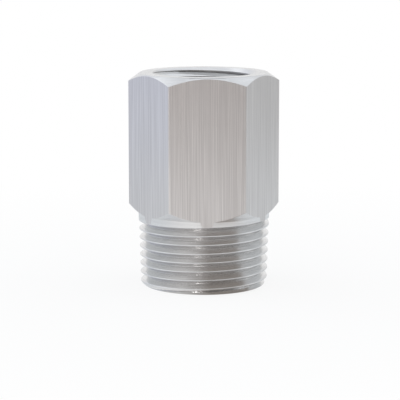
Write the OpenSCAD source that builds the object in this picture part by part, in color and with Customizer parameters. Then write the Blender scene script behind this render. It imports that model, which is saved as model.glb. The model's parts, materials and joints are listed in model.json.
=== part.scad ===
// Gauge diaphragm seal, turned from hexagon bar: a tapered socket thread in the top for the gauge,
// a tapered male thread at the bottom for the process, and a thin corrugated diaphragm in the end face.
// The part stands on its end face at z = 0, with two flats of the hexagon facing along Y.

/* [Hexagon body] */
// Overall height, from the end face of the male thread to the top face
overall_h = 44.1; // [38:0.1:60]
// Width of the hexagon across its flats
across_flats = 27; // [27:0.5:34]
// Diameter of the flat ring left on the top face inside the corner chamfer
top_face_d = 26.3; // [23.6:0.1:26.6]
// Slope of the chamfer on the hexagon's upper corners, from horizontal
top_chamfer_angle = 36; // [15:1:45]
// Slope of the cone that leads from the male thread out to the hexagon's lower corners
shoulder_angle = 43; // [30:1:60]

/* [Thread form] */
// Distance from one thread turn to the next, fourteen turns to the inch
pitch = 1.8143; // [1.6:0.01:2]
// Width of the flat at the bottom of the groove
root_flat = 0.05; // [0.03:0.01:0.06]
// Angle between the two flanks of the groove
flank_angle = 60; // [50:1:60]
// Growth of the thread's diameter for each unit of its length
taper_share = 0.0625; // [0.04:0.0025:0.08]
// Turns over which a groove fades out at its inner end
fade_turns = 0.35; // [0.25:0.05:1.2]

/* [Male process thread] */
// Crest diameter at the end face, before the lead-in chamfer
process_d = 26.2; // [25.4:0.1:26.4]
// Depth of the male thread's groove below its crest
process_depth = 1.4; // [0.9:0.05:1.45]
// Length of the threaded stub, from the end face to the shoulder cone
process_len = 15.1; // [12:0.1:17]
// Size of the lead-in chamfer at the end face
lead_chamfer = 0.7; // [0.3:0.05:1]
// Angle at which the groove's centre line crosses the end face
process_start = 195; // [0:1:359]
// Turns over which the groove grows to its full depth, half of them below the end face
lead_turns = 0.55; // [0.3:0.05:0.8]
// Plain land between the end of the groove and the shoulder cone
process_land = 1.15; // [0.2:0.05:1.4]

/* [Socket thread] */
// Diameter of the countersink at the top face
countersink_d = 21.6; // [21.4:0.1:22.8]
// Slope of the countersink, from horizontal
countersink_angle = 45; // [40:1:60]
// Crest diameter of the socket thread at the top face
socket_d = 18.3; // [17.8:0.1:18.4]
// Depth of the socket thread's groove below its crest
socket_depth = 1.45; // [1.2:0.05:1.45]
// Depth of the tapered bore below the top face
socket_len = 14; // [12:0.1:15]
// Depth of the straight drilled bore below the top face, before its conical point
socket_drill_depth = 19; // [17.5:0.1:21]
// Included angle of the drill's conical point
drill_point_angle = 118; // [90:1:140]
// Angle at which the socket groove's centre line crosses the top face
socket_start = 240; // [0:0.5:359.5]

/* [Pressure port] */
// Diameter of the small bore from the socket down to the diaphragm
port_d = 4; // [2:0.1:6]

/* [Diaphragm seat] */
// Diameter of the recess in the end face that takes the diaphragm and its ring
seat_d = 20.4; // [19.6:0.1:20.6]
// Depth of that recess
seat_depth = 1.5; // [1.3:0.05:2]
// Size of the groove that the weld fills, on each side of the joint
weld_leg = 0.5; // [0.3:0.05:0.6]
// Gap between the corrugated diaphragm and the bed above it
bed_gap = 0.35; // [0.2:0.05:0.6]

/* [Diaphragm] */
// Thickness of the diaphragm foil
foil_t = 0.1; // [0.08:0.01:0.2]
// Height of the corrugations, from their middle to a crest
wave_h = 0.2; // [0.1:0.02:0.25]
// Number of corrugations between the centre and the rim
wave_count = 4; // [2:1:6]
// Radius of the plain centre of the diaphragm
foil_centre_r = 1.6; // [1:0.1:2.5]

/* [Weld ring] */
// Inner diameter of the ring that holds the diaphragm's rim
ring_inner_d = 17.2; // [16:0.1:18]
// Distance from the end face up to the ring
ring_recess = 0.2; // [0.1:0.05:0.4]
// Radial gap between the ring or the diaphragm and the wall of the recess
ring_gap = 0.05; // [0.02:0.01:0.1]
// Size of the bevel on the ring's inner edge
ring_bevel = 0.3; // [0.1:0.05:0.4]

/* [Hidden] */
$fn = 96;
facets_per_turn = 48;
wave_steps = 8;
overrun = 1;
crest_overrun = 0.06;
fade_clear = 0.05;

corner_r = across_flats / sqrt(3);
taper_slope = taper_share / 2;
flank_slope = tan(flank_angle / 2);
fade_steps = round(fade_turns * facets_per_turn);
lead_steps = round(lead_turns * facets_per_turn);

top_r = top_face_d / 2;
top_chamfer_z = overall_h - (corner_r - top_r) * tan(top_chamfer_angle);

process_r = process_d / 2;
lead_r = process_r + taper_slope * lead_chamfer;
neck_r = process_r + taper_slope * process_len;
shoulder_z = process_len + (corner_r - neck_r) * tan(shoulder_angle);
groove_foot = -lead_turns / 2 * pitch;
process_steps = round((process_len - process_land - groove_foot) / pitch * facets_per_turn);

countersink_r = countersink_d / 2;
socket_r = socket_d / 2;
drill_r = socket_r - taper_slope * socket_len;
countersink_depth = (countersink_r - socket_r) * tan(countersink_angle);
drill_tip_depth = socket_drill_depth + drill_r / tan(drill_point_angle / 2);
socket_steps = round((socket_len + overrun) / pitch * facets_per_turn);

seat_r = seat_d / 2;
foil_r = seat_r - ring_gap;
ring_inner_r = ring_inner_d / 2;
wave_end_r = ring_inner_r - ring_bevel;
foil_top = seat_depth;
foil_mid = foil_top - foil_t / 2;

// Radius of the thread's crest at height z above the end face, for the male thread
function process_crest(z) = process_r + taper_slope * z;

// Radius of the socket thread's crest at height z above the end face
function socket_crest(z) = socket_r - taper_slope * (overall_h - z);

// Groove depth at a number of steps from its end, where it fades over fade steps to just clear of the crest
function faded_depth(depth, steps, fade) =
    steps >= fade ? depth : depth - (depth + fade_clear) * (1 - steps / fade);

// Four corners of the groove's section, with side 1 for a male thread and -1 for a socket
function groove_section(crest, depth, side, z) =
    let (
        root = crest - side * depth,
        rim = crest + side * crest_overrun,
        half = root_flat / 2,
        reach = half + (depth + crest_overrun) * flank_slope
    )
    [[root, z - side * half], [root, z + side * half], [rim, z + side * reach], [rim, z - side * reach]];

// A point given by its radius, height and angle
function turned(p, angle) = [p[0] * cos(angle), p[0] * sin(angle), p[1]];

// Solid swept by a ring of sections, each of four points, closed at both ends
module swept(sections) {
    count = len(sections);
    points = [for (ring = sections) for (p = ring) p];
    sides = [
        for (i = [0 : count - 2]) for (j = [0 : 3])
            let (a = 4 * i + j, b = 4 * i + (j + 1) % 4, c = b + 4, d = a + 4)
            each [[a, d, c], [a, c, b]]
    ];
    last = 4 * (count - 1);
    ends = [[0, 1, 2], [0, 2, 3], [last + 2, last + 1, last], [last + 3, last + 2, last]];
    polyhedron(points = points, faces = concat(sides, ends), convexity = 10);
}

// Helical groove of the male thread, which grows at the end face and fades out under the shoulder
module process_groove() {
    angle_first = process_start + 360 * groove_foot / pitch;
    swept([
        for (i = [0 : process_steps])
            let (
                z = groove_foot + pitch * i / facets_per_turn,
                lead = faded_depth(process_depth, i, lead_steps),
                run_out = faded_depth(process_depth, process_steps - i, fade_steps),
                section = groove_section(process_crest(z), min(lead, run_out), 1, z)
            )
            [for (p = section) turned(p, angle_first + 360 * i / facets_per_turn)]
    ]);
}

// Helical groove of the socket thread, from its fade in the bore up to above the top face
module socket_groove() {
    z_last = overall_h + overrun;
    angle_last = socket_start + 360 * overrun / pitch;
    swept([
        for (i = [0 : socket_steps])
            let (
                back = socket_steps - i,
                z = z_last - pitch * back / facets_per_turn,
                depth = faded_depth(socket_depth, i, fade_steps),
                section = groove_section(socket_crest(z), depth, -1, z)
            )
            [for (p = section) turned(p, angle_last - 360 * back / facets_per_turn)]
    ]);
}

// Height of the corrugation at radius r, zero at the plain centre and at the rim
function wave(r) =
    r <= foil_centre_r || r >= wave_end_r
        ? 0
        : wave_h * sin(360 * wave_count * (r - foil_centre_r) / (wave_end_r - foil_centre_r));

// Radii at which the corrugation is drawn
wave_radii = [
    for (i = [0 : wave_count * wave_steps])
        foil_centre_r + (wave_end_r - foil_centre_r) * i / (wave_count * wave_steps)
];

// Turned outline of the bar before the bores: end face, lead-in, thread crest, shoulder and chamfer
module body_outline() {
    polygon([
        [0, 0],
        [lead_r - lead_chamfer, 0],
        [lead_r, lead_chamfer],
        [neck_r, process_len],
        [corner_r, shoulder_z],
        [corner_r + overrun, shoulder_z + overrun * tan(shoulder_angle)],
        [corner_r + overrun, top_chamfer_z - overrun * tan(top_chamfer_angle)],
        [corner_r, top_chamfer_z],
        [top_r, overall_h],
        [0, overall_h],
    ]);
}

// Outline of the socket bore: countersink, tapered bore, straight bore and drill point
module socket_outline() {
    countersink_end_r = socket_crest(overall_h - countersink_depth);
    polygon([
        [0, overall_h - drill_tip_depth],
        [drill_r, overall_h - socket_drill_depth],
        [drill_r, overall_h - socket_len],
        [countersink_end_r, overall_h - (countersink_r - countersink_end_r) * tan(countersink_angle)],
        [countersink_r, overall_h],
        [countersink_r, overall_h + overrun],
        [0, overall_h + overrun],
    ]);
}

// Outline of the recess, its weld groove and the corrugated bed above the diaphragm
module seat_outline() {
    polygon(concat(
        [
            [0, -overrun],
            [seat_r + weld_leg, -overrun],
            [seat_r + weld_leg, 0],
            [seat_r, weld_leg],
            [seat_r, seat_depth],
            [wave_end_r, seat_depth],
        ],
        [for (i = [len(wave_radii) - 1 : -1 : 0]) [wave_radii[i], seat_depth + bed_gap + wave(wave_radii[i])]],
        [[0, seat_depth + bed_gap]]
    ));
}

// Outline of the foil: plain centre, corrugations and plain rim
module foil_outline() {
    polygon(concat(
        [[0, foil_mid - foil_t / 2]],
        [for (r = wave_radii) [r, foil_mid - foil_t / 2 + wave(r)]],
        [[foil_r, foil_mid - foil_t / 2], [foil_r, foil_top]],
        [for (i = [len(wave_radii) - 1 : -1 : 0]) [wave_radii[i], foil_top + wave(wave_radii[i])]],
        [[0, foil_top]]
    ));
}

// Outline of the ring, with the bevel that the weld fills on its outer lower edge
module ring_outline() {
    polygon([
        [ring_inner_r, ring_recess + ring_bevel],
        [ring_inner_r + ring_bevel, ring_recess],
        [seat_r - weld_leg, ring_recess],
        [foil_r, weld_leg + ring_gap],
        [foil_r, foil_top - foil_t],
        [ring_inner_r, foil_top - foil_t],
    ]);
}

// Outline of the weld, which fills the groove between the recess and the ring
module weld_outline() {
    polygon([
        [seat_r - weld_leg, ring_recess],
        [seat_r + weld_leg - ring_recess, ring_recess],
        [seat_r, weld_leg],
        [foil_r, weld_leg + ring_gap],
    ]);
}

module body() {
    color("silver")
    difference() {
        intersection() {
            cylinder(r = corner_r, h = overall_h, $fn = 6);
            rotate_extrude() body_outline();
        }
        process_groove();
        rotate_extrude() socket_outline();
        socket_groove();
        cylinder(d = port_d, h = overall_h - socket_drill_depth);
        rotate_extrude() seat_outline();
    }
}

module diaphragm() {
    color("gainsboro")
    rotate_extrude() foil_outline();
}

module weld_ring() {
    color("lightgray")
    rotate_extrude() ring_outline();
}

module weld_bead() {
    color("darkgray")
    rotate_extrude() weld_outline();
}

body();
diaphragm();
weld_ring();
weld_bead();
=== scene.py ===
"""Gauge diaphragm seal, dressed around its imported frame.

The body is cut again from a hexagon bar with finely stepped threads, and gets drawn flats and lathe-turned
faces. The foil, the ring that backs it and the welded seam are modelled in the recess of the end face.
"""

import json
import logging
import math
from collections.abc import Callable, Iterable
from dataclasses import dataclass, field
from enum import Enum
from typing import Any

import bmesh
import bpy
from mathutils import Matrix, Vector


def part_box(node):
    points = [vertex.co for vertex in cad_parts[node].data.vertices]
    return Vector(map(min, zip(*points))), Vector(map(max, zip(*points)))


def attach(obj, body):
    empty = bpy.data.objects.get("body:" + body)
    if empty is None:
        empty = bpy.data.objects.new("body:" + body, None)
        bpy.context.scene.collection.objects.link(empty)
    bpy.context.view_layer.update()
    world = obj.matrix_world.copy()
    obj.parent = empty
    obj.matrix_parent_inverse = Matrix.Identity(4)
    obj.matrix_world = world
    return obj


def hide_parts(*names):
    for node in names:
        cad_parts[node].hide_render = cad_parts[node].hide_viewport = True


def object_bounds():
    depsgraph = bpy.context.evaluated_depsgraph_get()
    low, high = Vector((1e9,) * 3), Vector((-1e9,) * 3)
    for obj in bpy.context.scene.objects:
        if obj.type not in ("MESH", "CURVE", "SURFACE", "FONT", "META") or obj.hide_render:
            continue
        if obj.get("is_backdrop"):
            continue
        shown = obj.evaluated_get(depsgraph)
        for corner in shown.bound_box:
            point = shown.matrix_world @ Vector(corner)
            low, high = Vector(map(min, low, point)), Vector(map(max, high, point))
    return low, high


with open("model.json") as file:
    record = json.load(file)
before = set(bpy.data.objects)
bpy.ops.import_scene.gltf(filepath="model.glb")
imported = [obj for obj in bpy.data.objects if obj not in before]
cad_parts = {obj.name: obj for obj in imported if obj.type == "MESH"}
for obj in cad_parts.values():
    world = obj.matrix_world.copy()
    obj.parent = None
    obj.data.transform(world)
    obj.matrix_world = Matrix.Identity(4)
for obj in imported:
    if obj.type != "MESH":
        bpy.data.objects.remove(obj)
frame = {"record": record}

MM = 0.001
IMAGE_PX = 400
FULL_TURN = 2 * math.pi
HEX_SIDES = 6
MERGE_GAP = 0.0005 * MM
CUT_GAP = 0.0001 * MM
TOUCH_GAP = 0.001 * MM
SENSOR_MM = 36.0
SHARP_DEGREES = 32
SOFT_SHARP_DEGREES = 40
LEAST_EASED_DEGREES = 8
LOG = logging.getLogger("diaphragm_seal")

Point = tuple[float, float]
Color = tuple[float, float, float]
Socket = bpy.types.NodeSocket

WHITE: Color = (1.0, 1.0, 1.0)


class Skin(Enum):
    """Surfaces of the body that carry a finish of their own, in the order of its material slots."""

    FLATS = 0
    TURNED = 1
    THREAD = 2
    BORE = 3
    SEAT = 4


class Side(Enum):
    """Which way a thread's groove is cut into the metal."""

    MALE = 1
    SOCKET = -1


# Node trees


class Sheet:
    """A node tree that is being drawn, with short calls to add nodes and join them."""

    def __init__(self, tree: bpy.types.NodeTree) -> None:
        """Keeps the tree that the nodes go into."""
        self.tree = tree

    def feed(self, socket: Socket, value: Any) -> None:
        """Joins a socket to another node's output, or sets its own value.

        Args:
            socket: The input socket.
            value: An output socket, a number or a tuple.
        """
        if isinstance(value, Socket):
            self.tree.links.new(value, socket)
        else:
            socket.default_value = value

    def add(self, kind: str, inputs: dict[Any, Any] | None = None, **settings: Any) -> bpy.types.Node:
        """Adds a node.

        Args:
            kind: The node's type name.
            inputs: What each input socket, named or numbered, is fed with.
            **settings: Properties of the node itself.

        Returns:
            The new node.
        """
        node = self.tree.nodes.new(kind)
        for name, value in settings.items():
            setattr(node, name, value)
        for name, value in (inputs or {}).items():
            self.feed(node.inputs[name], value)
        return node

    def math(self, operation: str, *values: Any) -> Socket:
        """Adds a maths node.

        Args:
            operation: The node's operation.
            *values: Numbers or sockets for its inputs.

        Returns:
            Its output socket.
        """
        return self.add("ShaderNodeMath", dict(enumerate(values)), operation=operation).outputs[0]

    def vector(self, operation: str, *values: Any) -> bpy.types.Node:
        """Adds a vector maths node.

        Args:
            operation: The node's operation.
            *values: Vectors or sockets for its inputs.

        Returns:
            The node.
        """
        return self.add("ShaderNodeVectorMath", dict(enumerate(values)), operation=operation)

    def scaled(self, place: Any, factor: Any) -> Socket:
        """Scales a vector by one factor."""
        return self.add("ShaderNodeVectorMath", {0: place, "Scale": factor}, operation="SCALE").outputs[0]

    def split(self, place: Any) -> Any:
        """Gives the outputs X, Y and Z of a vector."""
        return self.add("ShaderNodeSeparateXYZ", {0: place}).outputs

    def azimuth(self, parts: Any) -> Socket:
        """Gives the angle of a split vector round Z, in radians from -Y towards +X."""
        return self.math("ARCTAN2", parts["X"], self.math("MULTIPLY", parts["Y"], -1.0))

    def mixed(self, mask: Any, below: Any, above: Color) -> Socket:
        """Lays one color over another.

        Args:
            mask: How much of the upper color shows, from 0 to 1.
            below: The lower color, or a socket with it.
            above: The upper color.

        Returns:
            The mixed color.
        """
        layer = self.add("ShaderNodeMix", {0: mask}, data_type="RGBA")
        self.feed(layer.inputs[6], below if isinstance(below, Socket) else (*below, 1.0))
        self.feed(layer.inputs[7], (*above, 1.0))
        return layer.outputs[2]

    def noise(self, place: Any, scale: float, detail: float, roughness: float = 0.6) -> Socket:
        """Adds a noise texture.

        Args:
            place: The socket with the coordinates.
            scale: Scale of the noise.
            detail: Number of finer octaves.
            roughness: Strength of the finer octaves.

        Returns:
            The noise's value, around one half.
        """
        inputs = {"Vector": place, "Scale": scale, "Detail": detail, "Roughness": roughness}
        return self.add("ShaderNodeTexNoise", inputs).outputs["Fac"]

    def spread(
        self, value: Any, low: float, high: float, to_low: float = 0.0, to_high: float = 1.0
    ) -> Socket:
        """Maps a range of a value onto another, held at its ends.

        Args:
            value: The socket to map.
            low: Start of the range that is read.
            high: End of the range that is read.
            to_low: What the start becomes.
            to_high: What the end becomes.

        Returns:
            The mapped socket.
        """
        inputs = {"Value": value, "From Min": low, "From Max": high, "To Min": to_low, "To Max": to_high}
        return self.add("ShaderNodeMapRange", inputs).outputs["Result"]


def new_group(name: str, inputs: dict[str, str], outputs: Iterable[str]) -> tuple[Sheet, Any, Any]:
    """Starts a shader node group.

    Args:
        name: Name of the group.
        inputs: Socket type of each named input.
        outputs: Names of the outputs, which are all plain values.

    Returns:
        The group's sheet, its input node's outputs and its output node's inputs.
    """
    tree = bpy.data.node_groups.new(name, "ShaderNodeTree")
    for label, kind in inputs.items():
        tree.interface.new_socket(label, in_out="INPUT", socket_type=kind)
    for label in outputs:
        tree.interface.new_socket(label, in_out="OUTPUT", socket_type="NodeSocketFloat")
    sheet = Sheet(tree)
    return sheet, sheet.add("NodeGroupInput").outputs, sheet.add("NodeGroupOutput").inputs


@dataclass(frozen=True)
class MarkMix:
    """How fine and broad tool marks add up to one relief, and which heights are dark and light."""

    fine: float
    broad: float
    broad_scale: float
    broad_detail: float
    dark_height: float
    light_height: float

    def lay(self, sheet: Sheet, place: Socket, made: Any) -> None:
        """Feeds the Height and Tone of a group of tool marks.

        Args:
            sheet: The group's sheet.
            place: Coordinates in which a fine mark is one unit wide.
            made: Inputs of the group's output node.
        """
        fine = sheet.math("MULTIPLY", sheet.noise(place, 1.0, 2.0), self.fine)
        broad = sheet.math("MULTIPLY", sheet.noise(place, self.broad_scale, self.broad_detail), self.broad)
        height = sheet.math("ADD", fine, broad)
        sheet.feed(made["Height"], height)
        sheet.feed(made["Tone"], sheet.spread(height, self.dark_height, self.light_height))


DRAWN_MARKS = MarkMix(
    fine=0.9, broad=0.14, broad_scale=0.13, broad_detail=2.0, dark_height=0.46, light_height=0.74
)
TURNED_MARKS = MarkMix(
    fine=0.75, broad=0.4, broad_scale=0.3, broad_detail=1.0, dark_height=0.4, light_height=0.75
)


def drawn_grain() -> bpy.types.NodeTree:
    """Builds the group of fine lines that a drawing die leaves along the bar.

    Returns:
        The group, with a bump height and a tone that follow the lines.
    """
    inputs = {"Place": "NodeSocketVector", "Width": "NodeSocketFloat", "Length": "NodeSocketFloat"}
    sheet, given, made = new_group("drawn_grain", inputs, ("Height", "Tone"))
    across = sheet.math("DIVIDE", 1.0, given["Width"])
    along = sheet.math("DIVIDE", 1.0, given["Length"])
    stretch = sheet.add("ShaderNodeCombineXYZ", {"X": across, "Y": across, "Z": along}).outputs[0]
    place = sheet.vector("MULTIPLY", given["Place"], stretch).outputs[0]
    DRAWN_MARKS.lay(sheet, place, made)
    return sheet.tree


def lathe_marks() -> bpy.types.NodeTree:
    """Builds the group of fine rings that a turning tool leaves round the axis.

    Returns:
        The group, with a bump height and a tone that follow the rings.
    """
    inputs = {"Place": "NodeSocketVector", "Width": "NodeSocketFloat", "Drift": "NodeSocketFloat"}
    sheet, given, made = new_group("lathe_marks", inputs, ("Height", "Tone"))
    parts = sheet.split(given["Place"])
    flat = sheet.add("ShaderNodeCombineXYZ", {"X": parts["X"], "Y": parts["Y"]}).outputs[0]
    radius = sheet.vector("LENGTH", flat).outputs["Value"]
    rings = sheet.add("ShaderNodeCombineXYZ", {"X": radius, "Y": parts["Z"]}).outputs[0]
    ring_place = sheet.scaled(rings, sheet.math("DIVIDE", 1.0, given["Width"]))
    drift = sheet.scaled(given["Place"], sheet.math("DIVIDE", 1.0, given["Drift"]))
    TURNED_MARKS.lay(sheet, sheet.vector("ADD", ring_place, drift).outputs[0], made)
    return sheet.tree


def handling() -> bpy.types.NodeTree:
    """Builds the group of soft patches that wiping and handling leave on bare steel.

    Returns:
        The group, with a mask of the patches.
    """
    inputs = {"Place": "NodeSocketVector", "Size": "NodeSocketFloat"}
    sheet, given, made = new_group("handling", inputs, ("Mask",))
    place = sheet.scaled(given["Place"], sheet.math("DIVIDE", 1.0, given["Size"]))
    sheet.feed(made["Mask"], sheet.spread(sheet.noise(place, 1.0, 3.0, 0.5), 0.35, 0.65))
    return sheet.tree


@dataclass
class Effects:
    """The node groups that more than one finish uses, each built once."""

    grain: bpy.types.NodeTree = field(default_factory=drawn_grain)
    rings: bpy.types.NodeTree = field(default_factory=lathe_marks)
    patches: bpy.types.NodeTree = field(default_factory=handling)


# Finishes


@dataclass(frozen=True)
class SteelFinish:
    """Bare stainless steel, whose tone, gloss and relief follow one group of tool marks."""

    name: str
    dark: Color
    light: Color
    smooth: float
    rough: float
    mark_width: float
    mark_length: float
    relief: float
    patch_size: float = 9 * MM
    patch_gloss: float = 0.04

    def marks(self, sheet: Sheet, place: Socket, effects: Effects) -> bpy.types.Node:
        """Places the group of tool marks, which each kind of finish chooses.

        Args:
            sheet: The material's sheet.
            place: Object coordinates.
            effects: The shared groups.

        Returns:
            The group's node, with Height and Tone.
        """
        raise NotImplementedError

    def material(self, effects: Effects) -> bpy.types.Material:
        """Builds the material.

        Args:
            effects: The shared groups.

        Returns:
            The material.
        """
        made = bpy.data.materials.new(self.name)
        made.use_nodes = True
        sheet = Sheet(made.node_tree)
        shader = made.node_tree.nodes["Principled BSDF"]
        place = sheet.add("ShaderNodeTexCoord").outputs["Object"]
        marks = self.marks(sheet, place, effects)
        given = {"Place": place, "Size": self.patch_size}
        patches = sheet.add("ShaderNodeGroup", given, node_tree=effects.patches)
        gloss = sheet.spread(marks.outputs["Tone"], 0.0, 1.0, self.rough, self.smooth)
        worn = sheet.math("MULTIPLY_ADD", patches.outputs["Mask"], self.patch_gloss, gloss)
        bump = sheet.add("ShaderNodeBump", {"Distance": self.relief, "Height": marks.outputs["Height"]})
        sheet.feed(shader.inputs["Base Color"], sheet.mixed(marks.outputs["Tone"], self.dark, self.light))
        sheet.feed(shader.inputs["Roughness"], worn)
        sheet.feed(shader.inputs["Normal"], bump.outputs["Normal"])
        shader.inputs["Metallic"].default_value = 1.0
        return made


class DrawnFinish(SteelFinish):
    """Steel with the straight lines of a drawing die along Z."""

    def marks(self, sheet: Sheet, place: Socket, effects: Effects) -> bpy.types.Node:
        """Places the drawn lines, as SteelFinish.marks says."""
        given = {"Place": place, "Width": self.mark_width, "Length": self.mark_length}
        return sheet.add("ShaderNodeGroup", given, node_tree=effects.grain)


class TurnedFinish(SteelFinish):
    """Steel with the rings of a turning tool round Z."""

    def marks(self, sheet: Sheet, place: Socket, effects: Effects) -> bpy.types.Node:
        """Places the turned rings, as SteelFinish.marks says."""
        given = {"Place": place, "Width": self.mark_width, "Drift": self.mark_length}
        return sheet.add("ShaderNodeGroup", given, node_tree=effects.rings)


DRAWN_FLATS = DrawnFinish(
    name="drawn_flats", dark=(0.58, 0.559, 0.552), light=(0.8, 0.779, 0.77), smooth=0.26, rough=0.36,
    mark_width=0.11 * MM, mark_length=22 * MM, relief=0.008 * MM,
)
TURNED_FACES = TurnedFinish(
    name="turned_faces", dark=(0.66, 0.654, 0.652), light=(0.78, 0.774, 0.772), smooth=0.24, rough=0.34,
    mark_width=0.09 * MM, mark_length=6 * MM, relief=0.006 * MM,
)
CUT_THREAD = TurnedFinish(
    name="cut_thread", dark=(0.64, 0.634, 0.63), light=(0.78, 0.774, 0.77), smooth=0.16, rough=0.24,
    mark_width=0.08 * MM, mark_length=12 * MM, relief=0.003 * MM,
)
# The socket's bore and thread: rougher than the turned faces as a real finish, and darker in tone as
# painted shade of the hollow.
CUT_BORE_PAINTED_SHADE = TurnedFinish(
    name="cut_bore_painted_shade", dark=(0.58, 0.575, 0.57), light=(0.7, 0.695, 0.69), smooth=0.3, rough=0.42,
    mark_width=0.1 * MM, mark_length=8 * MM, relief=0.004 * MM,
)
CUT_SEAT = TurnedFinish(
    name="cut_seat", dark=(0.5, 0.49, 0.485), light=(0.66, 0.65, 0.64), smooth=0.28, rough=0.4,
    mark_width=0.1 * MM, mark_length=3 * MM, relief=0.008 * MM,
)
ROLLED_FOIL = TurnedFinish(
    name="rolled_foil", dark=(0.68, 0.675, 0.67), light=(0.76, 0.755, 0.75), smooth=0.16, rough=0.24,
    mark_width=0.2 * MM, mark_length=2 * MM, relief=0.002 * MM,
)
RING_STEEL = TurnedFinish(
    name="ring_steel", dark=(0.6, 0.59, 0.585), light=(0.72, 0.71, 0.705), smooth=0.26, rough=0.36,
    mark_width=0.08 * MM, mark_length=4 * MM, relief=0.006 * MM,
)
FUSED_SEAM = TurnedFinish(
    name="fused_seam", dark=(0.42, 0.4, 0.385), light=(0.62, 0.6, 0.58), smooth=0.3, rough=0.46,
    mark_width=0.12 * MM, mark_length=0.5 * MM, relief=0.006 * MM,
)
BODY_FINISHES = (DRAWN_FLATS, TURNED_FACES, CUT_THREAD, CUT_BORE_PAINTED_SHADE, CUT_SEAT)


# Mesh helpers


def outline_wire(bm: bmesh.types.BMesh, points: Iterable[Point], closed: bool) -> list[bmesh.types.BMVert]:
    """Draws an outline in the XZ plane as bare edges.

    Args:
        bm: The mesh to draw in.
        points: Radius and height of each corner.
        closed: Whether the last corner joins the first.

    Returns:
        The corners' vertices, in order.
    """
    verts = [bm.verts.new((r, 0.0, z)) for r, z in points]
    for start, end in zip(verts, verts[1:]):
        bm.edges.new((start, end))
    if closed:
        bm.edges.new((verts[-1], verts[0]))
    return verts


def ease_corners(bm: bmesh.types.BMesh, corners: list[bmesh.types.BMVert], size: float, steps: int) -> None:
    """Rounds corners of a wire outline.

    Args:
        bm: The mesh with the outline.
        corners: The corners to round.
        size: Distance from the corner at which the rounding starts.
        steps: Segments in each rounding.
    """
    bmesh.ops.bevel(
        bm, geom=corners, offset=size, segments=steps, profile=0.5, affect="VERTICES", material=-1
    )


def revolve(bm: bmesh.types.BMesh, steps: int, skin: Skin) -> None:
    """Spins a wire outline a full turn round Z into a closed shell with outward normals.

    Args:
        bm: The mesh with the outline.
        steps: Segments round the turn.
        skin: The surface that the faces belong to.
    """
    bmesh.ops.spin(
        bm, geom=bm.verts[:] + bm.edges[:], cent=(0, 0, 0), axis=(0, 0, 1), dvec=(0, 0, 0),
        angle=FULL_TURN, steps=steps, use_merge=True, use_duplicate=False,
    )
    bmesh.ops.remove_doubles(bm, verts=bm.verts[:], dist=MERGE_GAP)
    bmesh.ops.recalc_face_normals(bm, faces=bm.faces[:])
    for face in bm.faces:
        face.material_index = skin.value


def lathe(
    points: Iterable[Point], steps: int, skin: Skin, ease: float = 0.0, eased: Iterable[int] = ()
) -> bmesh.types.BMesh:
    """Turns a solid from an outline of radii and heights.

    Args:
        points: Radius and height of each corner, from one end of the axis to the other.
        steps: Segments round the turn.
        skin: The surface that the faces belong to.
        ease: Size of the rounding on the corners that have one.
        eased: Which corners are rounded.

    Returns:
        The solid's mesh.
    """
    bm = bmesh.new()
    closed = min(r for r, _ in points) > 0
    corners = outline_wire(bm, points, closed)
    if ease:
        ease_corners(bm, [corners[i] for i in eased], ease, 2)
    revolve(bm, steps, skin)
    return bm


def shade(mesh: bpy.types.Mesh, sharp_angle: float) -> None:
    """Shades a mesh smooth, with sharp edges where it turns by more than an angle.

    Args:
        mesh: The mesh.
        sharp_angle: The angle, in degrees.
    """
    mesh.shade_smooth()
    mesh.set_sharp_from_angle(angle=math.radians(sharp_angle))


def crisp_border(mesh: bpy.types.Mesh, skin: Skin) -> None:
    """Marks the edges where one kind of surface ends as sharp, however little they turn.

    Args:
        mesh: The mesh.
        skin: The surface.
    """
    bm = bmesh.new()
    bm.from_mesh(mesh)
    for edge in bm.edges:
        kinds = {face.material_index for face in edge.link_faces}
        if skin.value in kinds and len(kinds) > 1:
            edge.smooth = False
    bm.to_mesh(mesh)
    bm.free()


def mesh_object(
    bm: bmesh.types.BMesh, name: str, materials: Iterable[bpy.types.Material]
) -> bpy.types.Object:
    """Makes an object of a finished bmesh and frees it.

    Args:
        bm: The mesh in work.
        name: Name of the piece.
        materials: Its material slots.

    Returns:
        The linked object.
    """
    mesh = bpy.data.meshes.new(name)
    bm.to_mesh(mesh)
    bm.free()
    for material in materials:
        mesh.materials.append(material)
    piece = bpy.data.objects.new(name, mesh)
    bpy.context.scene.collection.objects.link(piece)
    return piece


def apply_modifiers(piece: bpy.types.Object) -> None:
    """Replaces an object's mesh by what its modifiers make of it.

    Args:
        piece: The object.
    """
    graph = bpy.context.evaluated_depsgraph_get()
    done = bpy.data.meshes.new_from_object(piece.evaluated_get(graph), depsgraph=graph)
    old = piece.data
    piece.modifiers.clear()
    piece.data = done
    bpy.data.meshes.remove(old)


def cut_away(piece: bpy.types.Object, cutters: Iterable[bpy.types.Object]) -> None:
    """Cuts solids out of an object one after another and deletes them.

    Args:
        piece: The object that is cut.
        cutters: The solids, whose material slots match the object's.
    """
    for cutter in cutters:
        cut = piece.modifiers.new("cut", "BOOLEAN")
        cut.operation = "DIFFERENCE"
        cut.solver = "MANIFOLD"
        cut.object = cutter
        apply_modifiers(piece)
        mesh = cutter.data
        bpy.data.objects.remove(cutter)
        bpy.data.meshes.remove(mesh)


def even_normals(piece: bpy.types.Object) -> None:
    """Lets the larger faces rule the shading, so that flats stay flat beside their eased edges.

    Args:
        piece: The object.
    """
    weighted = piece.modifiers.new("even", "WEIGHTED_NORMAL")
    weighted.keep_sharp = True
    apply_modifiers(piece)


# Threads


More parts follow.
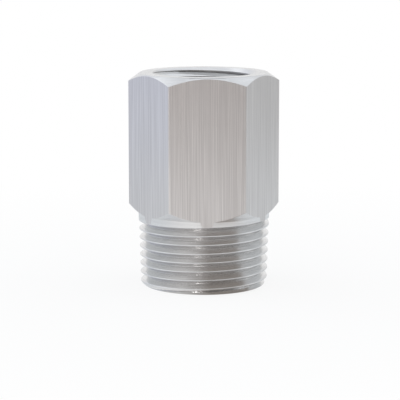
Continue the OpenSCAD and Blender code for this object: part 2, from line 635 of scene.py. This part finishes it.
@dataclass(frozen=True)
class ThreadForm:
    """Section of the groove of a taper pipe thread."""

    depth: float
    pitch: float = 1.8143 * MM
    root_half: float = 0.025 * MM
    flank_slope: float = math.tan(math.radians(30))
    taper_slope: float = 1 / 32
    lip_depth: float = 0.045 * MM
    lip_rise: float = 0.02 * MM
    lip_half: float = 0.885 * MM
    overrun: float = 0.12 * MM
    ease: float = 0.03 * MM
    fade_turns: float = 0.35
    steps_per_turn: int = 144

    def section(self) -> list[Point]:
        """Gives the groove's section as depths below the crest and widths from its middle.

        Returns:
            The corners, in order: one lip, the root and the other lip.
        """
        flank_half = self.root_half + (self.depth - self.lip_depth) * self.flank_slope
        half = [
            (-self.overrun, self.lip_half),
            (-self.lip_rise, self.lip_half),
            (self.lip_depth, flank_half),
            (self.depth, self.root_half),
        ]
        return [(d, -w) for d, w in half] + [(d, w) for d, w in reversed(half)]


@dataclass(frozen=True)
class TaperThread:
    """One helical groove in a tapered surface."""

    form: ThreadForm
    side: Side
    crest_r: float
    crest_z: float
    start_angle: float
    low: float
    high: float
    lead_turns: float = 0.0
    fades_at_top: bool = True
    least_width_share: float = 0.05

    def crest(self, z: float) -> float:
        """Gives the crest's radius at a height.

        Args:
            z: Height above the end face.

        Returns:
            The radius.
        """
        return self.crest_r + self.form.taper_slope * (z - self.crest_z)

    def share(self, centre: float) -> float:
        """Gives how much of its full size the groove has where its middle is at a height.

        Args:
            centre: Height of the groove's middle.

        Returns:
            A share from 0 to 1.
        """
        pitch = self.form.pitch
        left = self.high - centre if self.fades_at_top else centre - self.low
        shares = [1.0, left / (pitch * self.form.fade_turns)]
        if self.lead_turns:
            shares.append((centre - self.low) / (pitch * self.lead_turns))
        return max(min(shares), 0.0)

    def centre_near(self, angle: float, z: float) -> float:
        """Gives the height of the groove's middle at an angle, for the turn nearest to a height.

        Args:
            angle: Angle round the axis.
            z: The height.

        Returns:
            The middle's height on that turn.
        """
        first = self.crest_z + self.form.pitch * (angle - self.start_angle) / FULL_TURN
        return first + self.form.pitch * round((z - first) / self.form.pitch)

    def cutter(self, skin: Skin) -> bmesh.types.BMesh:
        """Sweeps the groove's section along its helix.

        Args:
            skin: The surface that the cut faces belong to.

        Returns:
            The closed solid of the groove.
        """
        form = self.form
        bm = bmesh.new()
        points = [(self.crest_r - self.side.value * d, self.low + w) for d, w in form.section()]
        corners = outline_wire(bm, points, closed=True)
        ease_corners(bm, corners[2:6], form.ease, 1)
        section = bmesh.ops.contextual_create(bm, geom=bm.edges[:])["faces"]
        steps = round((self.high - self.low) / form.pitch * form.steps_per_turn)
        first_angle = self.start_angle + FULL_TURN * (self.low - self.crest_z) / form.pitch
        turn_to_start = Matrix.Rotation(first_angle, 3, "Z")
        bmesh.ops.rotate(bm, verts=bm.verts[:], cent=(0, 0, 0), matrix=turn_to_start)
        bmesh.ops.spin(
            bm, geom=bm.verts[:] + bm.edges[:] + section, cent=(0, 0, 0), axis=(0, 0, 1),
            dvec=(0, 0, form.pitch / form.steps_per_turn), angle=FULL_TURN * steps / form.steps_per_turn,
            steps=steps, use_merge=False, use_duplicate=False,
        )
        for vert in bm.verts:
            self.fit_to_taper(vert)
        bmesh.ops.recalc_face_normals(bm, faces=bm.faces[:])
        for face in bm.faces:
            face.material_index = skin.value
        return bm

    def fit_to_taper(self, vert: bmesh.types.BMVert) -> None:
        """Moves a point of the straight sweep onto the taper and shrinks it where the groove fades.

        Args:
            vert: The point.
        """
        side = self.side.value
        radius = math.hypot(vert.co.x, vert.co.y)
        centre = self.centre_near(math.atan2(vert.co.y, vert.co.x), vert.co.z)
        share = self.share(centre)
        depth = side * (self.crest_r - radius)
        if depth > 0:
            depth = depth * share - (1 - share) * self.form.overrun / 2
        z = centre + (vert.co.z - centre) * max(share, self.least_width_share)
        scale = (self.crest(z) - side * depth) / radius
        vert.co = Vector((vert.co.x * scale, vert.co.y * scale, z))


# Pieces


@dataclass
class SealBody:
    """The one-piece body, cut from hexagon bar."""

    process_form: ThreadForm = ThreadForm(depth=1.4 * MM)
    socket_form: ThreadForm = ThreadForm(depth=1.45 * MM)
    top_face_r: float = 13.15 * MM
    chamfer_slope: float = math.tan(math.radians(36))
    shoulder_slope: float = math.tan(math.radians(43))
    lead: float = 0.7 * MM
    lead_turns: float = 0.55
    process_start: float = math.radians(195)
    process_land: float = 1.15 * MM
    countersink_r: float = 10.8 * MM
    countersink_slope: float = 1.0
    socket_crest_r: float = 9.15 * MM
    socket_start: float = math.radians(240)
    drill_point: float = math.radians(59)
    port_r: float = 2 * MM
    seat_r: float = 10.2 * MM
    seat_depth: float = 1.5 * MM
    weld_leg: float = 0.5 * MM
    bed_gap: float = 0.35 * MM
    overrun: float = 1 * MM
    edge_ease: float = 0.09 * MM
    corner_ease: float = 0.18 * MM
    arc_ease: float = 0.07 * MM
    steps: int = 192
    port_steps: int = 64

    def __post_init__(self) -> None:
        """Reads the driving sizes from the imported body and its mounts."""
        low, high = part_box("body")
        mounts = {mount["name"]: mount for mount in frame["record"]["mounts"]}
        self.height = high[2] - low[2]
        self.flat_r = (high[1] - low[1]) / 2
        self.corner_r = 2 * self.flat_r / math.sqrt(3)
        self.process_r = mounts["process_thread"]["dims"]["r_mm"] * MM
        self.process_len = mounts["process_thread"]["dims"]["length_mm"] * MM
        self.drill_r = mounts["gauge_socket"]["dims"]["r_mm"] * MM
        half_drilled = mounts["gauge_socket"]["dims"]["length_mm"] * MM / 2
        self.drill_low = mounts["gauge_socket"]["pos_m"][2] - half_drilled
        self.drill_high = mounts["gauge_socket"]["pos_m"][2] + half_drilled

    def bar(self) -> bmesh.types.BMesh:
        """Turns the outside of the body and mills its six flats.

        Returns:
            The blank, before its bores and threads.
        """
        taper = self.process_form.taper_slope
        lead_r = self.process_r + taper * self.lead
        neck_r = self.process_r + taper * self.process_len
        shoulder_z = self.process_len + (self.corner_r - neck_r) * self.shoulder_slope
        chamfer_z = self.height - (self.corner_r - self.top_face_r) * self.chamfer_slope
        outside = self.corner_r + self.overrun
        points = [
            (0.0, 0.0),
            (lead_r - self.lead, 0.0),
            (lead_r, self.lead),
            (neck_r, self.process_len),
            (outside, shoulder_z + self.overrun * self.shoulder_slope),
            (outside, chamfer_z - self.overrun * self.chamfer_slope),
            (self.top_face_r, self.height),
            (0.0, self.height),
        ]
        bm = lathe(points, self.steps, Skin.TURNED, self.edge_ease, (1, 2, 3, 6))
        for side in range(HEX_SIDES):
            self.mill_flat(bm, FULL_TURN * (side + 0.5) / HEX_SIDES)
        self.ease_edges(bm, (Skin.FLATS, Skin.FLATS), self.corner_ease, 3)
        self.ease_edges(bm, (Skin.FLATS, Skin.TURNED), self.arc_ease, 2)
        return bm

    def mill_flat(self, bm: bmesh.types.BMesh, angle: float) -> None:
        """Cuts one flat of the hexagon and closes it with a face.

        Args:
            bm: The blank.
            angle: Direction that the flat faces.
        """
        facing = Vector((math.cos(angle), math.sin(angle), 0.0))
        cut = bmesh.ops.bisect_plane(
            bm, geom=bm.verts[:] + bm.edges[:] + bm.faces[:], dist=CUT_GAP,
            plane_co=facing * self.flat_r, plane_no=facing, clear_outer=True,
        )["geom_cut"]
        rim = [item for item in cut if isinstance(item, bmesh.types.BMEdge)]
        bmesh.ops.edgeloop_fill(bm, edges=rim, mat_nr=Skin.FLATS.value, use_smooth=True)

    @staticmethod
    def ease_edges(bm: bmesh.types.BMesh, skins: tuple[Skin, Skin], size: float, steps: int) -> None:
        """Rounds the edges where two kinds of surface meet.

        Args:
            bm: The blank.
            skins: The two surfaces.
            size: Width of the rounding.
            steps: Segments across it.
        """
        wanted = sorted(skin.value for skin in skins)
        edges = [
            edge for edge in bm.edges
            if sorted(face.material_index for face in edge.link_faces) == wanted
            and edge.calc_face_angle(0.0) > math.radians(LEAST_EASED_DEGREES)
        ]
        bmesh.ops.bevel(
            bm, geom=edges, offset=size, segments=steps, profile=0.5, affect="EDGES", material=-1,
            clamp_overlap=True,
        )

    def socket(self) -> bmesh.types.BMesh:
        """Turns the solid of the socket: countersink, tapered bore, straight bore and drill point.

        Returns:
            The solid, with the countersink as bright as the outside.
        """
        mouth_drop = (self.countersink_r - self.socket_crest_r) * self.countersink_slope
        crest_r = self.socket_crest_r - self.socket_form.taper_slope * mouth_drop
        points = [
            (0.0, self.drill_low - self.drill_r / math.tan(self.drill_point)),
            (self.drill_r, self.drill_low),
            (self.drill_r, self.drill_high),
            (crest_r, self.height - (self.countersink_r - crest_r) * self.countersink_slope),
            (self.countersink_r - self.edge_ease, self.height - self.edge_ease),
            (self.countersink_r + self.edge_ease, self.height + self.edge_ease / 2),
            (self.countersink_r + self.edge_ease, self.height + self.overrun),
            (0.0, self.height + self.overrun),
        ]
        bm = lathe(points, self.steps, Skin.BORE)
        # The deeper faces keep the bore's finish with its painted shade; the countersink gets the turned
        # finish.
        for face in bm.faces:
            if face.calc_center_median().z > self.height - mouth_drop:
                face.material_index = Skin.TURNED.value
        return bm

    def port(self) -> bmesh.types.BMesh:
        """Turns the solid of the small bore that links the socket and the diaphragm."""
        points = [(0.0, self.seat_depth), (self.port_r, self.seat_depth)]
        points += [(self.port_r, self.drill_low), (0.0, self.drill_low)]
        return lathe(points, self.port_steps, Skin.BORE)

    def seat(self, wave: Callable[[float], float], radii: list[float]) -> bmesh.types.BMesh:
        """Turns the solid of the recess for the diaphragm, with its bed and weld groove.

        Args:
            wave: Height of the diaphragm's corrugation at a radius.
            radii: Radii at which the corrugation is drawn.

        Returns:
            The solid's mesh.
        """
        rim_r = self.seat_r + self.weld_leg
        points = [(0.0, -self.overrun), (rim_r, -self.overrun), (rim_r, 0.0), (self.seat_r, self.weld_leg)]
        points += [(self.seat_r, self.seat_depth), (radii[-1], self.seat_depth)]
        points += [(r, self.seat_depth + self.bed_gap + wave(r)) for r in reversed(radii)]
        points += [(0.0, self.seat_depth + self.bed_gap)]
        return lathe(points, self.steps, Skin.SEAT)

    def threads(self) -> tuple[TaperThread, TaperThread]:
        """Gives the male thread of the stub and the thread of the socket."""
        foot = -self.lead_turns / 2 * self.process_form.pitch
        end = self.process_len - self.process_land
        male = TaperThread(
            self.process_form, Side.MALE, self.process_r, 0.0, self.process_start, foot, end,
            lead_turns=self.lead_turns,
        )
        above = self.height + self.overrun
        socket = TaperThread(
            self.socket_form, Side.SOCKET, self.socket_crest_r, self.height, self.socket_start,
            self.drill_high, above, fades_at_top=False,
        )
        return male, socket

    def build(self, finishes: list[bpy.types.Material], diaphragm: "Diaphragm") -> bpy.types.Object:
        """Makes the finished body.

        Args:
            finishes: One material for each Skin, in order.
            diaphragm: The diaphragm, whose corrugation the bed follows.

        Returns:
            The body's object.
        """
        piece = mesh_object(self.bar(), "turned_body", finishes)
        male, female = self.threads()
        solids = {
            "socket_solid": self.socket(),
            "port_solid": self.port(),
            "seat_solid": self.seat(diaphragm.wave, diaphragm.radii()),
            "process_groove": male.cutter(Skin.THREAD),
            "socket_groove": female.cutter(Skin.BORE),
        }
        cut_away(piece, [mesh_object(bm, name, finishes) for name, bm in solids.items()])
        shade(piece.data, SHARP_DEGREES)
        crisp_border(piece.data, Skin.BORE)
        even_normals(piece)
        return piece


@dataclass
class Diaphragm:
    """The pressed foil that parts the process from the gauge."""

    ring: "WeldRing"
    thickness: float = 0.1 * MM
    wave_height: float = 0.2 * MM
    wave_count: int = 4
    steps_per_wave: int = 20
    centre_r: float = 1.6 * MM
    steps: int = 160

    def __post_init__(self) -> None:
        """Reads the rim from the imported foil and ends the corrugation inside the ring."""
        _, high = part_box("diaphragm")
        self.rim_r = high[0]
        self.wave_end = self.ring.inner_r - self.ring.bevel

    def wave(self, r: float) -> float:
        """Gives the corrugation's height at a radius.

        Args:
            r: The radius.

        Returns:
            The height above the foil's plain parts.
        """
        run = (r - self.centre_r) / (self.wave_end - self.centre_r)
        return self.wave_height * math.sin(FULL_TURN * self.wave_count * run) if 0 < run < 1 else 0.0

    def radii(self) -> list[float]:
        """Gives the radii at which the corrugation is drawn."""
        count = self.wave_count * self.steps_per_wave
        return [self.centre_r + (self.wave_end - self.centre_r) * i / count for i in range(count + 1)]

    def build(self, finish: bpy.types.Material, seat_depth: float) -> bpy.types.Object:
        """Makes the foil.

        Args:
            finish: Its material.
            seat_depth: Height of the seat that the foil's rim lies on.

        Returns:
            The foil's object.
        """
        low = seat_depth - self.thickness
        under = [(r, low + self.wave(r)) for r in self.radii()]
        over = [(r, z + self.thickness) for r, z in reversed(under)]
        points = [(0.0, low), *under, (self.rim_r, low), (self.rim_r, seat_depth), *over, (0.0, seat_depth)]
        piece = mesh_object(lathe(points, self.steps, Skin.FLATS), "foil_diaphragm", [finish])
        shade(piece.data, SOFT_SHARP_DEGREES)
        return piece


@dataclass
class WeldRing:
    """The turned ring that backs the diaphragm's rim."""

    inner_r: float = 8.6 * MM
    recess: float = 0.2 * MM
    bevel: float = 0.3 * MM
    gap: float = 0.05 * MM
    ease: float = 0.05 * MM
    steps: int = 160

    def build(self, finish: bpy.types.Material, body: SealBody, foil_t: float) -> bpy.types.Object:
        """Makes the ring.

        Args:
            finish: Its material.
            body: The body whose recess it sits in.
            foil_t: Thickness of the foil above it.

        Returns:
            The ring's object.
        """
        outer = body.seat_r - self.gap
        top = body.seat_depth - foil_t
        points = [
            (self.inner_r, self.recess + self.bevel),
            (self.inner_r + self.bevel, self.recess),
            (body.seat_r - body.weld_leg, self.recess),
            (outer, body.weld_leg + self.gap),
            (outer, top),
            (self.inner_r, top),
        ]
        bm = lathe(points, self.steps, Skin.FLATS, self.ease, (0, 1, 2))
        piece = mesh_object(bm, "backing_ring", [finish])
        shade(piece.data, SHARP_DEGREES)
        return piece


@dataclass
class WeldSeam:
    """The fused seam between the ring and the body, with the ripples of its pulses."""

    ripples: int = 96
    ripple_height: float = 0.018 * MM
    crown: float = 0.05 * MM
    ripple_lag: float = 1.6
    crown_steps: int = 8
    steps: int = 480

    def build(self, finish: bpy.types.Material, body: SealBody, ring: WeldRing) -> bpy.types.Object:
        """Makes the seam.

        Args:
            finish: Its material.
            body: The body on one side of the groove that it fills.
            ring: The ring on the other side.

        Returns:
            The seam's object.
        """
        inner = body.seat_r - body.weld_leg
        outer = body.seat_r + body.weld_leg - ring.recess
        step = (outer - inner) / self.crown_steps
        face = [(inner + step * i, ring.recess) for i in range(self.crown_steps + 1)]
        points = [*face, (body.seat_r, body.weld_leg), (body.seat_r - ring.gap, body.weld_leg + ring.gap)]
        bm = lathe(points, self.steps, Skin.FLATS)
        for vert in bm.verts:
            self.raise_ripple(vert, inner, outer, ring.recess)
        piece = mesh_object(bm, "weld_seam", [finish])
        shade(piece.data, SOFT_SHARP_DEGREES)
        return piece

    def raise_ripple(self, vert: bmesh.types.BMVert, inner: float, outer: float, face_z: float) -> None:
        """Crowns the seam's face and lays one ripple of each pulse across it.

        Args:
            vert: A point of the plain seam.
            inner: Inner radius of its face.
            outer: Outer radius of its face.
            face_z: Height of the plain face.
        """
        radius = math.hypot(vert.co.x, vert.co.y)
        run = (radius - inner) / (outer - inner)
        if vert.co.z > face_z + TOUCH_GAP or not 0 < run < 1:
            return
        arch = math.sin(math.pi * run)
        phase = math.atan2(vert.co.y, vert.co.x) * self.ripples - self.ripple_lag * arch
        vert.co.z -= arch * (self.crown + self.ripple_height * math.sin(phase))


# Studio


@dataclass(frozen=True)
class Lamp:
    """A soft rectangular lamp that points at the part."""

    name: str
    azimuth: float
    elevation: float
    distance: float
    width: float
    height: float
    power: float
    color: Color = WHITE

    def place(self, target: Vector) -> None:
        """Adds the lamp.

        Args:
            target: The point that it faces.
        """
        data = bpy.data.lights.new(self.name, "AREA")
        data.shape = "RECTANGLE"
        data.size, data.size_y = self.width, self.height
        data.energy = self.power
        data.color = self.color
        lamp = bpy.data.objects.new(self.name, data)
        back = direction(self.azimuth, self.elevation)
        lamp.location = target + back * self.distance
        lamp.rotation_euler = (-back).to_track_quat("-Z", "Y").to_euler()
        bpy.context.scene.collection.objects.link(lamp)


def direction(azimuth: float, elevation: float) -> Vector:
    """Gives the direction from the part to a viewer.

    Args:
        azimuth: Degrees round the part, from -Y.
        elevation: Degrees above the horizon.

    Returns:
        A unit vector.
    """
    a, e = math.radians(azimuth), math.radians(elevation)
    return Vector((math.sin(a) * math.cos(e), -math.cos(a) * math.cos(e), math.sin(e)))


@dataclass
class Studio:
    """Floor, light and camera."""

    camera_azimuth: float = -3.003
    camera_elevation: float = 8.581
    camera_distance: float = 377.05 * MM
    focal_px: float = 1819.3
    nearest_seen: float = 0.01
    farthest_seen: float = 20.0
    aim_height: float = 17.462 * MM
    aim_side: float = -0.806 * MM
    floor_r: float = 0.2
    floor_steps: int = 128
    floor_drop: float = 0.03 * MM
    shadow_end: float = 0.14
    shadow_share: float = 0.16
    floor_tone: float = 0.92
    # A painted shadow of the part on the floor: a wedge at the front right, seen only in mirrored rays.
    shade_azimuths: tuple[float, float, float, float] = (-28, 6, 54, 58)
    shade_start: float = 0.0115
    shade_edge: float = 1 * MM
    shade_full: float = 0.03
    shade_end: float = 0.055
    shade_color: Color = (0.4, 0.357, 0.32)
    # Painted shade on the floor's sides, seen only in mirrored rays, which darkens the metal's sides.
    side_shade_azimuths: tuple[float, float] = (35, 75)
    side_shade_color: Color = (0.82, 0.86, 0.89)
    backdrop_start: float = 0.75
    backdrop_full: float = 0.95
    surroundings: tuple[tuple[float, Color], ...] = (
        (0.0, (0.85, 0.85, 0.86)),
        (0.14, (0.74, 0.79, 0.92)),
        (0.27, (0.79, 0.84, 0.97)),
        (0.36, (0.9, 0.9, 0.92)),
        (0.44, (0.84, 0.82, 0.81)),
        (0.49, (0.68, 0.62, 0.6)),
        (0.522, (0.16, 0.135, 0.12)),
        (0.67, (0.28, 0.27, 0.26)),
        (0.7, (0.9, 0.93, 0.96)),
        (0.77, (0.8, 0.82, 0.84)),
        (0.84, (0.58, 0.6, 0.61)),
        (1.0, (0.85, 0.85, 0.86)),
    )
    ceiling_start: float = 0.35
    ceiling_full: float = 0.7
    ceiling_color: Color = (0.98, 1.02, 1.07)
    flag_middle: float = 0.04
    flag_half: float = 0.17
    flag_fade: float = 0.1
    flag_start: float = 0.28
    flag_full: float = 0.4
    flag_low: float = 0.58
    flag_color: Color = (0.17, 0.175, 0.18)
    lamps: tuple[Lamp, ...] = (
        Lamp("top_box", azimuth=20, elevation=82, distance=0.7, width=0.4, height=0.4, power=0.06),
        Lamp("left_box", azimuth=-105, elevation=30, distance=0.8, width=0.5,
             height=0.8, power=0.25, color=(0.93, 0.96, 1.0)),
        Lamp("right_box", azimuth=100, elevation=20, distance=0.8, width=0.3, height=0.8, power=0.3),
        Lamp("front_strip", azimuth=-14.5, elevation=10, distance=0.9, width=0.03, height=0.5, power=0.5),
        Lamp("back_box", azimuth=-126, elevation=48, distance=0.8, width=0.25, height=0.25, power=0.08),
    )

    def camera(self) -> None:
        """Sets the camera at the photographed view."""
        data = bpy.data.cameras.new("photo_view")
        data.sensor_width = SENSOR_MM
        data.lens = data.sensor_width * self.focal_px / IMAGE_PX
        data.clip_start, data.clip_end = self.nearest_seen, self.farthest_seen
        camera = bpy.data.objects.new("photo_view", data)
        middle = sum((Vector(corner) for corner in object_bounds()), Vector()) / 2
        back = direction(self.camera_azimuth, self.camera_elevation)
        camera.location = middle + back * self.camera_distance
        side = direction(self.camera_azimuth + 90, 0)
        aim = Vector((0, 0, self.aim_height)) + side * self.aim_side
        camera.rotation_euler = (aim - camera.location).to_track_quat("-Z", "Y").to_euler()
        bpy.context.scene.collection.objects.link(camera)
        bpy.context.scene.camera = camera

    @staticmethod
    def background_rays(sheet: Sheet, mirrored_share: Any = 1.0) -> Socket:
        """Gives a mask of the rays that show the background.

        Args:
            sheet: The node tree in work.
            mirrored_share: How much of it shows in mirrored rays and through glass.

        Returns:
            One for the camera's own rays, the share for mirrored and glass rays, else zero.
        """
        path = sheet.add("ShaderNodeLightPath").outputs
        mirrored = sheet.math("MAXIMUM", path["Is Glossy Ray"], path["Is Transmission Ray"])
        shared = sheet.math("MULTIPLY", mirrored, mirrored_share)
        return sheet.math("MAXIMUM", path["Is Camera Ray"], shared)

    def mirrored_floor(self, sheet: Sheet, reach: Socket) -> Socket:
        """Gives the floor's color: white, but in mirrored rays with painted shade at the sides and a
        painted shadow of the part.

        Args:
            sheet: The floor's sheet.
            reach: Distance from the axis.

        Returns:
            The color.
        """
        turn = sheet.azimuth(sheet.split(sheet.add("ShaderNodeTexCoord").outputs["Object"]))
        # Painted shadow of the part: a wedge of the floor at the front right, which only mirrored rays
        # show.
        starts, full, fades, ends = (math.radians(edge) for edge in self.shade_azimuths)
        shade = sheet.spread(turn, starts, full)
        for limit in (
            sheet.spread(turn, fades, ends, 1.0, 0.0),
            sheet.spread(reach, self.shade_start, self.shade_start + self.shade_edge),
            sheet.spread(reach, self.shade_full, self.shade_end, 1.0, 0.0),
        ):
            shade = sheet.math("MULTIPLY", shade, limit)
        # Painted shade at the floor's sides, which only mirrored rays show.
        side_shade_from, side_shade_full = (math.radians(edge) for edge in self.side_shade_azimuths)
        aside = sheet.spread(sheet.math("ABSOLUTE", turn), side_shade_from, side_shade_full)
        mirrored = sheet.add("ShaderNodeLightPath").outputs["Is Glossy Ray"]
        color: Any = WHITE
        for mask, darker in ((aside, self.side_shade_color), (shade, self.shade_color)):
            color = sheet.mixed(sheet.math("MULTIPLY", mask, mirrored), color, darker)
        return color

    def floor(self) -> None:
        """Lays the pale round floor, which keeps the shadow and is not seen from below."""
        bm = bmesh.new()
        bmesh.ops.create_circle(bm, cap_ends=True, segments=self.floor_steps, radius=self.floor_r)
        bmesh.ops.translate(bm, verts=bm.verts[:], vec=(0, 0, -self.floor_drop))
        material = bpy.data.materials.new("pale_floor")
        material.use_nodes = True
        sheet = Sheet(material.node_tree)
        sheet.tree.nodes.clear()
        matt = sheet.add("ShaderNodeBsdfDiffuse", {"Color": (self.floor_tone,) * 3 + (1.0,)})
        reach = sheet.vector("LENGTH", sheet.add("ShaderNodeTexCoord").outputs["Object"]).outputs["Value"]
        shadow = sheet.spread(reach, 0.0, self.shadow_end, self.shadow_share, 0.0)
        lift = sheet.math("MULTIPLY", self.background_rays(sheet), sheet.math("SUBTRACT", 1.0, shadow))
        shown = {"Color": self.mirrored_floor(sheet, reach), "Strength": 1.0}
        white = sheet.add("ShaderNodeEmission", shown)
        lit = sheet.add("ShaderNodeMixShader", {0: lift, 1: matt.outputs[0], 2: white.outputs[0]})
        clear = sheet.add("ShaderNodeBsdfTransparent")
        behind = sheet.add("ShaderNodeNewGeometry").outputs["Backfacing"]
        mixed = sheet.add("ShaderNodeMixShader", {0: behind, 1: lit.outputs[0], 2: clear.outputs[0]})
        sheet.add("ShaderNodeOutputMaterial", {"Surface": mixed.outputs[0]})
        mesh_object(bm, "floor", [material])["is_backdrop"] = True

    def flags(self, sheet: Sheet, parts: Any) -> Socket:
        """Gives a mask of the two dark cloths that hang from the ceiling, before and behind the part.

        Args:
            sheet: The world's sheet.
            parts: The X, Y and Z of each direction.

        Returns:
            One on the cloths, else zero, with soft edges.
        """
        aside = sheet.math("ABSOLUTE", sheet.math("SUBTRACT", parts["X"], self.flag_middle))
        across = sheet.spread(aside, self.flag_half, self.flag_half + self.flag_fade, 1.0, 0.0)
        away = sheet.spread(sheet.math("ABSOLUTE", parts["Y"]), self.flag_start, self.flag_full)
        above = sheet.spread(parts["Z"], self.flag_low, self.flag_low + self.flag_fade)
        return sheet.math("MULTIPLY", sheet.math("MULTIPLY", across, away), above)

    def world(self) -> None:
        """Draws the surroundings: white to the eye, and softly shaded sides of a studio to the metal."""
        world = bpy.data.worlds.new("studio")
        bpy.context.scene.world = world
        world.use_nodes = True
        sheet = Sheet(world.node_tree)
        sheet.tree.nodes.clear()
        parts = sheet.split(sheet.add("ShaderNodeTexCoord").outputs["Generated"])
        share = sheet.math("MULTIPLY_ADD", sheet.azimuth(parts), 1 / FULL_TURN, 0.5)
        ramp = sheet.add("ShaderNodeValToRGB", {"Fac": share})
        stops = ramp.color_ramp.elements
        for stop, (place, color) in zip(stops[:], (self.surroundings[0], self.surroundings[-1])):
            stop.position = place
            stop.color = (*color, 1.0)
        for place, color in self.surroundings[1:-1]:
            stops.new(place).color = (*color, 1.0)
        around = ramp.outputs["Color"]
        ceiling = sheet.spread(parts["Z"], self.ceiling_start, self.ceiling_full)
        behind = sheet.spread(parts["Y"], self.backdrop_start, self.backdrop_full)
        for mask, color in (
            (ceiling, self.ceiling_color),
            (self.flags(sheet, parts), self.flag_color),
            (self.background_rays(sheet, behind), WHITE),
        ):
            around = sheet.mixed(mask, around, color)
        light = sheet.add("ShaderNodeBackground", {"Color": around, "Strength": 1.0})
        sheet.add("ShaderNodeOutputWorld", {"Surface": light.outputs[0]})

    def build(self) -> None:
        """Sets up everything round the part."""
        self.camera()
        self.floor()
        self.world()
        target = Vector((0, 0, self.aim_height))
        for lamp in self.lamps:
            lamp.place(target)
        bpy.context.scene.view_settings.view_transform = "Standard"


def stand_in(piece: bpy.types.Object, node: str) -> None:
    """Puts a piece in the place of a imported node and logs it.

    Args:
        piece: The piece.
        node: The node that it replaces.
    """
    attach(piece, "root")
    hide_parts(node)
    LOG.info("%s replaces %s with %d faces", piece.name, node, len(piece.data.polygons))


def main() -> None:
    """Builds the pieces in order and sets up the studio."""
    logging.basicConfig(level=logging.INFO, format="%(name)s: %(message)s")
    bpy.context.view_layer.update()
    effects = Effects()
    finishes = [finish.material(effects) for finish in BODY_FINISHES]
    body, ring, seam = SealBody(), WeldRing(), WeldSeam()
    diaphragm = Diaphragm(ring)
    stand_in(body.build(finishes, diaphragm), "body")
    stand_in(diaphragm.build(ROLLED_FOIL.material(effects), body.seat_depth), "diaphragm")
    stand_in(ring.build(RING_STEEL.material(effects), body, diaphragm.thickness), "weld_ring")
    stand_in(seam.build(FUSED_SEAM.material(effects), body, ring), "weld_bead")
    Studio().build()


if __name__ == "__main__":
    main()
